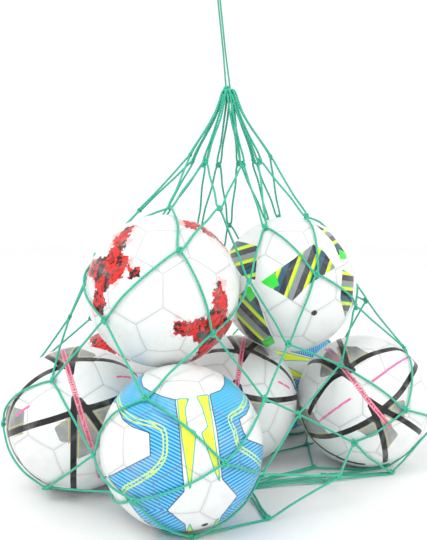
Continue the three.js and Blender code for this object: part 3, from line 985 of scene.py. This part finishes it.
RIGHT_GREYS = [
    [(-0.36, 0.75), (-0.1, 0.75), (0.08, 0.64), (-0.21, 0.45)],
    [(-0.5, 0.73), (-0.57, 0.58), (-0.59, 0.33), (-0.21, 0.45)],
    [(0.22, -0.16), (0.56, 0.0), (0.56, -0.25)],
    [(0.2, -0.28), (-0.04, -0.4), (0.11, -0.49), (0.25, -0.42)],
    [(-0.93, -0.16), (-0.78, -0.55), (-0.51, -0.52), (-0.75, -0.22)],
    [(0.23, -0.19), (0.47, -0.46), (0.32, -0.67)],
]
LEFT_BARS = [
    [(-0.95, -0.19), (-0.61, -0.08), (-0.28, 0.0), (-0.01, 0.08)],
    [(-0.01, 0.08), (0.22, 0.13), (0.49, 0.21), (0.75, 0.35), (0.88, 0.45)],
    [(-0.06, 0.24), (-0.07, -0.15), (-0.08, -0.57), (-0.08, -0.98)],
    [(0.01, 0.21), (0.17, -0.01), (0.32, -0.24), (0.5, -0.6)],
    [(-0.13, 0.68), (-0.39, 0.61), (-0.7, 0.41), (-0.89, 0.15), (-0.95, -0.19)],
    [(-0.13, 0.75), (0.17, 0.76), (0.53, 0.71), (0.8, 0.55)],
    [(-0.1, 0.57), (-0.06, 0.8), (0.03, 0.98)],
    [(-0.43, 0.84), (-0.28, 0.74), (-0.13, 0.64)],
    [(-0.95, -0.19), (-0.73, -0.63), (-0.42, -0.88), (-0.08, -0.99)],
]
LEFT_PINKS = [[(0.15, -0.38), (0.25, -0.8)], [(-0.81, 0.06), (-0.64, 0.17)], [(0.51, 0.51), (0.7, 0.5)]]
LEFT_DOTS = [[(-0.22, 0.94), (-0.13, 0.6), (0.0, 0.13), (0.15, -0.38)]]
LEFT_GREYS = [
    [(-0.28, -0.13), (-0.08, 0.0), (-0.1, -0.29), (-0.22, -0.27)],
    [(-0.01, 0.04), (0.17, -0.04), (0.31, -0.24), (0.2, -0.41), (-0.01, -0.49)],
    [(-0.98, 0.18), (-0.73, 0.1), (-0.75, -0.15), (-0.95, -0.19)],
    [(-0.41, 0.85), (-0.07, 0.94), (0.2, 0.82), (-0.11, 0.74)],
    [(0.07, 0.06), (0.42, 0.11), (0.36, -0.13)],
]


def blue_fields():
    return {
        "white": outline_distance(BLUE_WHITES), "lime": outline_distance(BLUE_LIMES),
        "trim": line_distance(BLUE_TRIMS)[0],
    }


def red_fields():
    return {"red": outline_distance(RED_PATCHES), "vein": line_distance(RED_VEINS)[0]}


def striped_fields():
    patches = np.array([outline_distance([outline]) for outline, _ in STRIPE_PATCHES])
    across = np.array([BALL_WAYS[:, 0] * x + BALL_WAYS[:, 1] * y for _, (x, y) in STRIPE_PATCHES])
    nearest = patches.argmin(axis=0)
    every = np.arange(len(BALL_WAYS))
    return {
        "patch": patches[nearest, every], "across": across[nearest, every],
        "green": outline_distance(STRIPE_GREENS),
    }


def banded_fields(bars, pinks, dots, greys):
    dot, along = line_distance(dots)
    return {
        "bar": line_distance(bars)[0], "pink": line_distance(pinks)[0], "dot": dot, "run": along,
        "grey": outline_distance(greys),
    }


def ball_paint(name):
    """A satin coated panel skin, white until its pattern is laid on."""
    paint = Paint(name, 0.3, coat=0.1, specular=0.35)
    paint.base(linear(234, 236, 235))
    return paint


def finish_ball(paint):
    """The stitched seams, painted shade along them, a fine pebbled grain and a little soiling."""
    seam = paint.number("seam")
    dirt = paint.noise(3.1, 5.0)
    paint.layer(linear(206, 203, 196), dirt.step(0.6, 0.16) * 0.2)
    # Painted shade: a broad grey band along each seam groove; the narrow line below is the seam itself.
    paint.layer(linear(150, 154, 156), (seam * -1).step(-3.5, 3.5) * 0.12)
    paint.layer(linear(96, 100, 102), seam.less(0.55) * 0.32)
    paint.rough(dirt * 0.2 + 0.2)
    paint.bump(paint.cells(75.0), 0.22, 0.0003)
    return paint.done()


def blue_material():
    paint = ball_paint("blue_panels")
    x, y, _ = paint.axes("unit")
    white, lime, trim = (paint.number(name) for name in ("white", "lime", "trim"))
    blue = white.more(0.0)
    lean = (y + 0.7).size() * 0.89 - (x - 0.2).size() * 0.46
    stripe = (lean / 0.036).fraction().more(0.46) * blue * (y * -1 + 0.62).math("MULTIPLY", 3.0, clamp=True)
    paint.layer(linear(112, 204, 236), blue)
    paint.layer(linear(60, 178, 222), blue * y.step(0.45, 0.5))
    paint.layer(linear(30, 132, 204), stripe)
    paint.layer(linear(204, 236, 120), blue * ((trim - 2.6).size()).less(0.85))
    paint.layer(linear(40, 58, 84), (white - 0.004).size().less(0.006) * 0.85)
    paint.layer(linear(92, 190, 160), lime.less(0.014) * white.less(0.0))
    paint.layer(linear(238, 248, 70), lime.less(0.0))
    return finish_ball(paint)


def red_material():
    paint = ball_paint("red_panels")
    red, vein = paint.number("red"), paint.number("vein")
    jag = (paint.noise(8.0, 6.0, roughness=0.72) - 0.5) * 0.24
    inside = (red + jag).less(0.012)
    haze = (red + jag).less(0.075)
    paint.layer(linear(222, 150, 142), vein.less(0.55) * 0.55)
    paint.layer(linear(236, 170, 165), haze * paint.noise(5.0, 4.0).step(0.58, 0.1) * 0.7)
    paint.layer(linear(222, 40, 34), inside)
    paint.layer(linear(150, 22, 24), inside * paint.noise(14.0, 5.0).more(0.54) * 0.8)
    paint.layer(linear(34, 20, 20), inside * paint.noise(6.5, 6.0, roughness=0.66).more(0.535))
    return finish_ball(paint)


def striped_material():
    paint = ball_paint("striped_panels")
    patch, across, green = (paint.number(name) for name in ("patch", "across", "green"))
    inside = patch.less(0.0)
    place = (across / 0.21).fraction()
    fine = (across / 0.016).fraction().more(0.5)
    wide = (across / 0.42).fraction().more(0.5)
    paint.layer(linear(142, 148, 152), inside)
    paint.layer(linear(58, 92, 112), inside * wide)
    paint.layer(linear(36, 44, 50), inside * place.more(0.62) * (fine * 0.35 + 0.65))
    paint.layer(linear(226, 238, 44), inside * place.less(0.2))
    paint.layer(linear(96, 220, 60), inside * place.less(0.26) * place.more(0.2))
    paint.layer(linear(58, 222, 66), green.less(0.0) * inside)
    return finish_ball(paint)


def banded_material():
    paint = ball_paint("banded_panels")
    bar, pink, dot, run, grey = (paint.number(name) for name in ("bar", "pink", "dot", "run", "grey"))
    tone = paint.noise(4.0, 2.0)
    paint.layer(linear(168, 172, 170), grey.less(0.03))
    paint.layer(linear(116, 119, 118), grey.less(0.03) * tone.step(0.5, 0.3) * 0.8)
    paint.layer(linear(206, 190, 90), (bar - 7.0).size().less(0.6) * grey.less(0.05))
    paint.layer(linear(26, 26, 26), bar.less(4.5))
    paint.layer(linear(238, 112, 176), pink.less(2.0))
    paint.layer(linear(216, 84, 112), dot.less(4.0) * (run / 4.2).fraction().more(0.22))
    paint.layer(linear(244, 150, 176), (dot - 2.6).size().less(0.7))
    return finish_ball(paint)


# What each ball is printed with, the turn about its line of sight in degrees, and its slot.
DESIGNS = {
    "ball_front": ("blue", 0, "panels_blue"),
    "ball_left": ("left", 0, "panels_grey"),
    "ball_right": ("right", 0, "panels_grey"),
    "ball_middle": ("left", -24, "panels_grey"),
    "ball_back_left": ("red", 150, "panels_red"),
    "ball_back_right": ("blue", 70, "panels_blue"),
    "ball_upper_left": ("red", 0, "panels_red"),
    "ball_upper_right": ("striped", 0, "panels_striped"),
}
FIELDS = {
    "blue": blue_fields(), "red": red_fields(), "striped": striped_fields(),
    "left": banded_fields(LEFT_BARS, LEFT_PINKS, LEFT_DOTS, LEFT_GREYS),
    "right": banded_fields(RIGHT_BARS, RIGHT_PINKS, RIGHT_DOTS, RIGHT_GREYS),
}
BANDED = banded_material()
PAINTS = {
    "blue": blue_material(), "red": red_material(), "striped": striped_material(),
    "left": BANDED, "right": BANDED,
}


def add_ball(name, design, degrees, slot):
    """A stitched ball in place of the CAD casing. Its printed front faces the front of the bag."""
    centre = CENTRES[name] - ORIGIN
    toward = unit(EYE - centre)
    right = unit(np.cross([0, 0, 1], toward))
    up = np.cross(toward, right)
    turn = math.radians(degrees)
    sideways = right * math.cos(turn) + up * math.sin(turn)
    upward = up * math.cos(turn) - right * math.sin(turn)
    corners = BALL_CORNERS @ np.stack([sideways, upward, toward])
    corners[:, 2] = np.maximum(corners[:, 2], 0.05 - centre[2])
    piece = new_piece(f"{name}_skin", corners + centre, BALL_FACES, PAINTS[design])
    set_numbers(piece, "unit", BALL_WAYS)
    set_numbers(piece, "seam", BALL_SEAM)
    for field, values in FIELDS[design].items():
        set_numbers(piece, field, values)
    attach(piece, name)
    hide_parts(f"{name}_casing")


for ball, looks in DESIGNS.items():
    add_ball(ball, *looks)

# ---- bladders, and valves let into the skins ----

VALVE_PROFILE = [
    (0.0, 0.1), (0.9, 0.1), (1.2, 0.2), (1.5, 0.7), (2.0, 0.85), (3.2, 0.8), (3.9, 0.6), (4.4, 0.2),
    (4.7, -1.2),
]
VALVE_STEPS = 40


def rubber_material(name, colour):
    paint = Paint(name, 0.6)
    paint.base(colour)
    cloud = paint.noise(90.0, 3.0, "object")
    paint.layer(tuple(value * 1.8 + 0.01 for value in colour), cloud.step(0.55, 0.3) * 0.4)
    paint.bump(cloud, 0.2, 0.0003)
    return paint.done()


def add_valve(name, material):
    """The valve's rubber lip, round a small well whose shade is painted near-black, standing just proud of
    the ball's skin.
    """
    low, high = (np.array(corner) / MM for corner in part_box(f"{name}_valve"))
    centre = CENTRES[name] - ORIGIN
    out = unit((low + high) / 2 - centre)
    side = unit(np.cross(out, [0.3, 0.5, 0.8]))
    across = np.cross(out, side)
    corners, well = [], []
    for radius, height in VALVE_PROFILE:
        base = math.sqrt(BALL_RADIUS**2 - radius**2) + height
        for turn in np.arange(VALVE_STEPS) * 2 * math.pi / VALVE_STEPS:
            corners.append(centre + out * base + (side * math.cos(turn) + across * math.sin(turn)) * radius)
            well.append(radius)
    faces = []
    for ring in range(len(VALVE_PROFILE) - 1):
        for step in range(VALVE_STEPS):
            here = ring * VALVE_STEPS + step
            following = ring * VALVE_STEPS + (step + 1) % VALVE_STEPS
            faces.append((here, here + VALVE_STEPS, following + VALVE_STEPS, following))
    piece = new_piece(f"{name}_valve_lip", corners, faces, material)
    set_numbers(piece, "well", well)
    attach(piece, name)
    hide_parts(f"{name}_valve")


def valve_material():
    paint = Paint("valve_lip", 0.55)
    paint.base(linear(58, 58, 60))
    cloud = paint.noise(900.0, 3.0, "object")
    paint.layer(linear(96, 96, 96), cloud.step(0.55, 0.3) * 0.4)
    # Painted shade: the middle of the lip is painted near-black as the shade inside the valve's hole.
    paint.layer(linear(8, 8, 8), paint.number("well").less(1.3))
    paint.bump(cloud, 0.2, 0.0002)
    return paint.done()


bladder_rubber = rubber_material("bladder_rubber", linear(34, 34, 35))
lip_rubber = valve_material()
for ball in BALLS:
    node = frame["nodes"][f"{ball}_bladder"]
    node.data.materials.clear()
    node.data.materials.append(bladder_rubber)
    add_valve(ball, lip_rubber)

# ---- stage and light ----


def add_floor():
    mesh = bpy.data.meshes.new("floor")
    reach = 14.0
    mesh.from_pydata(
        [(-reach, -reach, 0), (reach, -reach, 0), (reach, reach, 0), (-reach, reach, 0)], [], [(0, 1, 2, 3)]
    )
    paint = Paint("floor_paint", 0.8)
    paint.base((0.93, 0.93, 0.93))
    mesh.materials.append(paint.done())
    floor = bpy.data.objects.new("floor", mesh)
    bpy.context.scene.collection.objects.link(floor)


def add_light(name, place, aim, size, power):
    data = bpy.data.lights.new(name, "AREA")
    data.shape = "RECTANGLE"
    data.size, data.size_y = size
    data.energy = power
    light = bpy.data.objects.new(name, data)
    bpy.context.scene.collection.objects.link(light)
    light.location = place
    light.rotation_euler = (Vector(aim) - Vector(place)).to_track_quat("-Z", "Y").to_euler()


def add_world():
    world = bpy.data.worlds.new("studio")
    world.use_nodes = True
    background = world.node_tree.nodes["Background"]
    background.inputs[0].default_value = (1, 1, 1, 1)
    background.inputs[1].default_value = 1.06
    bpy.context.scene.world = world
    bpy.context.scene.view_settings.view_transform = "Standard"


add_floor()
add_world()
add_light("key", (-1.2, -1.6, 2.6), (0, 0, 0.2), (1.6, 1.2), 24)
add_light("fill", (1.9, -1.5, 1.4), (0, 0, 0.25), (1.0, 1.4), 9)
